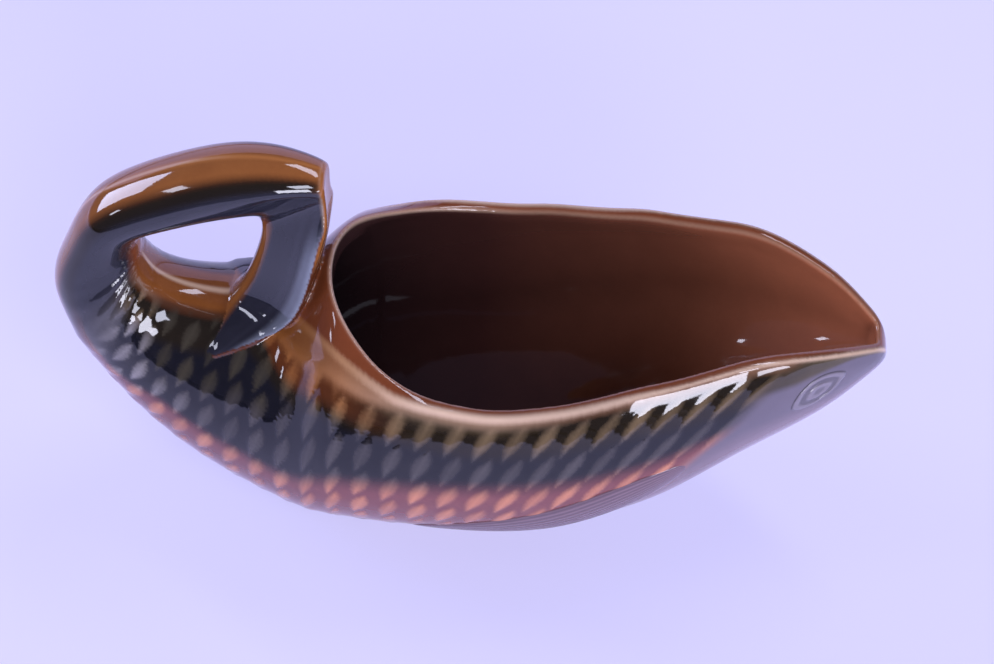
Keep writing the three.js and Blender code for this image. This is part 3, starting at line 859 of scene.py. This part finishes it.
def flank(x, angle, side, lift):
    """Points on the flank of the hull, lifted off it; angles in radians from its widest line."""
    sec = bowl_sections(np.ravel(x))
    width = sec["width"].reshape(x.shape)
    middle = sec["middle"][:, 1].reshape(x.shape)
    lifted = width + lift
    return np.stack([x, side * lifted * np.cos(angle), middle + lifted * np.sin(angle)], 2)


def eye(name, side, material):
    turn = 2 * math.pi * np.arange(EYE_STEPS) / EYE_STEPS
    share = np.linspace(0.02, 1, EYE_RINGS)
    share = np.concatenate([share, share[::-1]])[:, None]
    face = np.arange(len(share)) < EYE_RINGS
    lift = np.where(face, eye_height(share[:, 0]), -SEAT_DEPTH - 1)[:, None]
    u = EYE_LENGTH / 2 * share * np.cos(turn)
    v = 0.82 * EYE_HEIGHT / 2 * share * np.sin(turn) * np.abs(np.sin(turn)) ** 0.4
    tilt = math.radians(EYE_TILT)
    x = EYE_X + u * math.cos(tilt) - v * math.sin(tilt)
    rise = u * math.sin(tilt) + v * math.cos(tilt)
    angle = math.radians(EYE_LIFT) + rise / half_width(np.array(EYE_X))
    lift = lift + 0 * x
    loops = flank(x, angle, side, lift)
    return sealed(name, loops, side, lift, EYE_RING, EYE, EYE_DEEP, material)


def side_fin(name, side, material):
    t = np.linspace(0, 1, LEAF_RINGS)[:, None]
    v = np.linspace(-1, 1, LEAF_STEPS)
    v = np.concatenate([v, v[::-1]])
    x = SIDE_FIN_ROOT + (SIDE_FIN_TIP - SIDE_FIN_ROOT) * t + 0 * v
    swell = np.sin(math.pi * np.clip(t, 0.004, 0.996) ** 0.8)
    reach = SIDE_FIN_WIDTH * (0.04 + 0.5 * swell**0.7) / half_width(x)
    rays = 0.5 + 0.5 * np.cos(2 * math.pi * 5.5 * v)
    top = SIDE_FIN_RELIEF * (1 - v * v) ** 0.6 * swell**0.6 - 0.1 * rays * (1 - v**4) * swell - 0.1
    lift = np.where(np.arange(len(v)) < LEAF_STEPS, top, -SEAT_DEPTH - 1)
    angle = np.radians(side_fin_middle(x)) + v * reach
    loops = flank(x, angle, side, lift)
    raised = lift - top + 1 - rays
    return sealed(name, loops, side, raised, 1, LEAF, LEAF_DEEP, material)


def sealed(name, loops, side, height, full, thin, deep, material):
    """A closed piece over loops, glazed thin where it stands high."""
    points, faces = tube(loops if side > 0 else loops[:, ::-1])
    height = height if side > 0 else height[:, ::-1]
    flat = np.concatenate([height.ravel(), height[0, :1], height[-1, :1]])
    pool = np.clip(1 - flat / full, 0, 1)
    ones = np.ones((len(points), 1))
    look = {"thin": ones * np.array(thin), "deep": ones * np.array(deep), "pool": pool}
    return new_piece(name, points, outward(points, faces), material, look)


def outward(points, faces):
    a, b, c = (points[faces[:, k]] for k in range(3))
    return faces if np.einsum("ij,ij->", a, np.cross(b, c)) > 0 else faces[:, ::-1]


# Materials

def node_material(name):
    material = bpy.data.materials.new(name)
    material.use_nodes = True
    tree = material.node_tree
    tree.nodes.clear()
    output = tree.nodes.new("ShaderNodeOutputMaterial")
    shader = tree.nodes.new("ShaderNodeBsdfPrincipled")
    tree.links.new(shader.outputs[0], output.inputs["Surface"])
    return material, tree, shader


def noise(tree, scale, detail=3.0):
    where = tree.nodes.new("ShaderNodeTexCoord")
    node = tree.nodes.new("ShaderNodeTexNoise")
    node.inputs["Scale"].default_value = scale
    node.inputs["Detail"].default_value = detail
    tree.links.new(where.outputs["Object"], node.inputs["Vector"])
    return node.outputs["Fac"]


def spread(tree, value, low, high):
    """Maps 0 to 1 onto low to high."""
    node = tree.nodes.new("ShaderNodeMapRange")
    node.inputs["To Min"].default_value = low
    node.inputs["To Max"].default_value = high
    tree.links.new(value, node.inputs["Value"])
    return node.outputs[0]


def total(tree, a, b):
    node = tree.nodes.new("ShaderNodeMath")
    node.operation = "ADD"
    tree.links.new(a, node.inputs[0])
    tree.links.new(b, node.inputs[1])
    return node.outputs[0]


def blended(tree, share, first, second):
    """Mixes two colours, each a fixed colour or a socket."""
    node = tree.nodes.new("ShaderNodeMix")
    node.data_type = "RGBA"
    tree.links.new(share, node.inputs[0])
    for socket, colour in ((node.inputs[6], first), (node.inputs[7], second)):
        if isinstance(colour, tuple):
            socket.default_value = (*colour, 1)
        else:
            tree.links.new(colour, socket)
    return node.outputs[2]


def attribute(tree, name):
    node = tree.nodes.new("ShaderNodeAttribute")
    node.attribute_name = name
    return node


def glaze_material(name):
    material, tree, shader = node_material(name)
    clouds = spread(tree, noise(tree, 140), -0.14, 0.14)
    specks = spread(tree, noise(tree, 900), -0.05, 0.05)
    pool = total(tree, attribute(tree, "pool").outputs["Fac"], total(tree, clouds, specks))
    thin = attribute(tree, "thin").outputs["Color"]
    deep = attribute(tree, "deep").outputs["Color"]
    tree.links.new(blended(tree, pool, thin, deep), shader.inputs["Base Color"])
    tree.links.new(spread(tree, noise(tree, 60), 0.03, 0.07), shader.inputs["Roughness"])
    bump = tree.nodes.new("ShaderNodeBump")
    bump.inputs["Strength"].default_value = 0.12
    bump.inputs["Distance"].default_value = 0.0004
    tree.links.new(noise(tree, 130, 2.0), bump.inputs["Height"])
    tree.links.new(bump.outputs[0], shader.inputs["Normal"])
    shader.inputs["IOR"].default_value = 1.46
    return material


def clay_material(name):
    material, tree, shader = node_material(name)
    colour = blended(tree, noise(tree, 500), (0.55, 0.43, 0.30), (0.68, 0.57, 0.43))
    tree.links.new(colour, shader.inputs["Base Color"])
    shader.inputs["Roughness"].default_value = 0.75
    return material


def seen_directly(tree):
    """One for rays from the camera, from a mirror-like surface or through glass."""
    path = tree.nodes.new("ShaderNodeLightPath")
    value = path.outputs["Is Camera Ray"]
    for name in ("Is Glossy Ray", "Is Transmission Ray"):
        value = total(tree, value, path.outputs[name])
    return spread(tree, value, 0, 1)


def past_cloth(tree):
    """One past the front edge of the cloth, where the boat mirrors the dim room instead of it."""
    where = tree.nodes.new("ShaderNodeTexCoord")
    split = tree.nodes.new("ShaderNodeSeparateXYZ")
    tree.links.new(where.outputs["Object"], split.inputs[0])
    edge = tree.nodes.new("ShaderNodeMapRange")
    edge.inputs["From Min"].default_value = CLOTH_FRONT
    edge.inputs["From Max"].default_value = CLOTH_FRONT - 0.08
    tree.links.new(split.outputs["Y"], edge.inputs["Value"])
    path = tree.nodes.new("ShaderNodeLightPath")
    both = tree.nodes.new("ShaderNodeMath")
    both.operation = "MULTIPLY"
    tree.links.new(edge.outputs[0], both.inputs[0])
    tree.links.new(path.outputs["Is Glossy Ray"], both.inputs[1])
    return both.outputs[0]


def floor_material(name):
    """Pale cloth, partly its own even tone so that the shadow on it stays faint."""
    material, tree, shader = node_material(name)
    cloth = blended(tree, noise(tree, 3.0), *CLOTH_TONES)
    colour = blended(tree, past_cloth(tree), cloth, ROOM_TONE)
    tree.links.new(colour, shader.inputs["Base Color"])
    shader.inputs["Roughness"].default_value = 0.9
    shader.inputs["Specular IOR Level"].default_value = 0.0
    glow = tree.nodes.new("ShaderNodeEmission")
    glow.inputs["Strength"].default_value = 1.0
    glow.inputs["Color"].default_value = (*CLOTH_GLOW, 1)
    path = tree.nodes.new("ShaderNodeLightPath")
    blend = tree.nodes.new("ShaderNodeMixShader")
    tree.links.new(spread(tree, path.outputs["Is Camera Ray"], 0, FLOOR_EVENNESS), blend.inputs[0])
    tree.links.new(shader.outputs[0], blend.inputs[1])
    tree.links.new(glow.outputs[0], blend.inputs[2])
    output = next(n for n in tree.nodes if n.type == "OUTPUT_MATERIAL")
    tree.links.new(blend.outputs[0], output.inputs["Surface"])
    return material


# Stage

# Camera as fitted to the photograph: angles in degrees, distances in millimetres
CAMERA_AZIMUTH = 5
CAMERA_ELEVATION = 50
CAMERA_DISTANCE = 456
CAMERA_TARGET = (6.7, 0, 55.9)
FOCAL_PIXELS = 1900
FRAME_PIXELS = 994

# Floor: its reach and the cloth's front edge in metres, its colours and its own even share
FLOOR_REACH = 6.0
CLOTH_FRONT = -0.42
CLOTH_TONES = ((0.68, 0.66, 0.92), (0.72, 0.70, 0.96))
CLOTH_GLOW = (0.65, 0.62, 1.0)
ROOM_TONE = (0.04, 0.04, 0.06)
FLOOR_EVENNESS = 0.65

# Room: its even light, and how it looks in the glaze
ROOM_LIGHT = (0.30, 0.29, 0.36)
ROOM_SEEN = (0.09, 0.085, 0.15)

# Lamps: height they face in metres, and for each its name, azimuth and elevation from the boat,
# distance and size in metres, radiance and colour
LAMP_AIM = 0.06
COOL = (0.80, 0.82, 1.0)
LAMPS = [
    ("front_window", (21, 17), 1.6, (0.56, 0.66), 22, (0.84, 0.84, 1.0)),
    ("right_window", (46, 7), 1.6, (0.46, 0.26), 18, (0.84, 0.84, 1.0)),
    ("left_window", (-109, 21), 1.6, (0.62, 0.62), 14, (0.65, 0.70, 1.0)),
    ("right_lamp", (34, 44), 1.6, (0.40, 0.44), 18, COOL),
    ("left_lamp", (-76, 20), 1.6, (0.10, 0.13), 16, COOL),
    ("high_lamp", (-75, 39), 1.6, (0.26, 0.17), 14, COOL),
    ("top_lamp", (135, 64), 1.4, (0.80, 0.20), 13, COOL),
    ("back_wall", (179, 16), 2.2, (6.0, 1.2), 1.4, (0.58, 0.53, 1.0)),
]


def direction(azimuth, elevation):
    a, e = math.radians(azimuth), math.radians(elevation)
    return Vector((math.sin(a) * math.cos(e), -math.cos(a) * math.cos(e), math.sin(e)))


def add_camera():
    data = bpy.data.cameras.new("camera")
    data.sensor_fit = "HORIZONTAL"
    data.sensor_width = 36
    data.lens = 36 * FOCAL_PIXELS / FRAME_PIXELS
    data.clip_start = 0.01
    camera = bpy.data.objects.new("camera", data)
    back = direction(CAMERA_AZIMUTH, CAMERA_ELEVATION)
    camera.location = (Vector(CAMERA_TARGET) + CAMERA_DISTANCE * back) * METRE
    camera.rotation_euler = (-back).to_track_quat("-Z", "Y").to_euler()
    bpy.context.scene.collection.objects.link(camera)
    bpy.context.scene.camera = camera


def add_softbox(name, towards, distance_m, size, radiance, colour):
    """A rectangular lamp seen at an azimuth and elevation from the boat, facing it."""
    data = bpy.data.lights.new(name, "AREA")
    data.shape = "RECTANGLE"
    data.size, data.size_y = size
    data.energy = radiance * math.pi * size[0] * size[1]
    data.color = colour
    lamp = bpy.data.objects.new(name, data)
    ray = direction(*towards)
    lamp.location = ray * distance_m + Vector((0, 0, LAMP_AIM))
    lamp.rotation_euler = ray.to_track_quat("Z", "Y").to_euler()
    bpy.context.scene.collection.objects.link(lamp)


def add_world():
    """Even light from the room on the boat; where it mirrors the room, the room is dim."""
    world = bpy.data.worlds.new("studio")
    world.use_nodes = True
    tree = world.node_tree
    colour = blended(tree, seen_directly(tree), ROOM_LIGHT, ROOM_SEEN)
    tree.links.new(colour, tree.nodes["Background"].inputs["Color"])
    bpy.context.scene.world = world


def add_floor():
    far = FLOOR_REACH
    corners = [(-far, -far, 0), (far, -far, 0), (far, far, 0), (-far, far, 0)]
    mesh = bpy.data.meshes.new("floor")
    mesh.from_pydata(corners, [], [(0, 1, 2, 3)])
    mesh.materials.append(floor_material("floor_paper"))
    floor = bpy.data.objects.new("floor", mesh)
    bpy.context.scene.collection.objects.link(floor)


bpy.context.scene.view_settings.view_transform = "Standard"
add_camera()
add_floor()
add_world()
for lamp in LAMPS:
    add_softbox(*lamp)

glaze = glaze_material("majolica_glaze")
body = glazed_body(glaze)
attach(body, "root")
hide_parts("body_shell", "tail_stem", "tail_fin")

fin_glaze = glaze_material("blue_grey_glaze")
for side, hand in ((1, "left"), (-1, "right")):
    for piece, node in ((eye(hand + "_eye_relief", side, fin_glaze), hand + "_eye"),
                        (side_fin(hand + "_fin_leaf", side, fin_glaze), hand + "_side_fin")):
        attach(piece, "root")
        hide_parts(node)

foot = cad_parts["foot"]
foot.material_slots[0].material = clay_material("bare_clay")
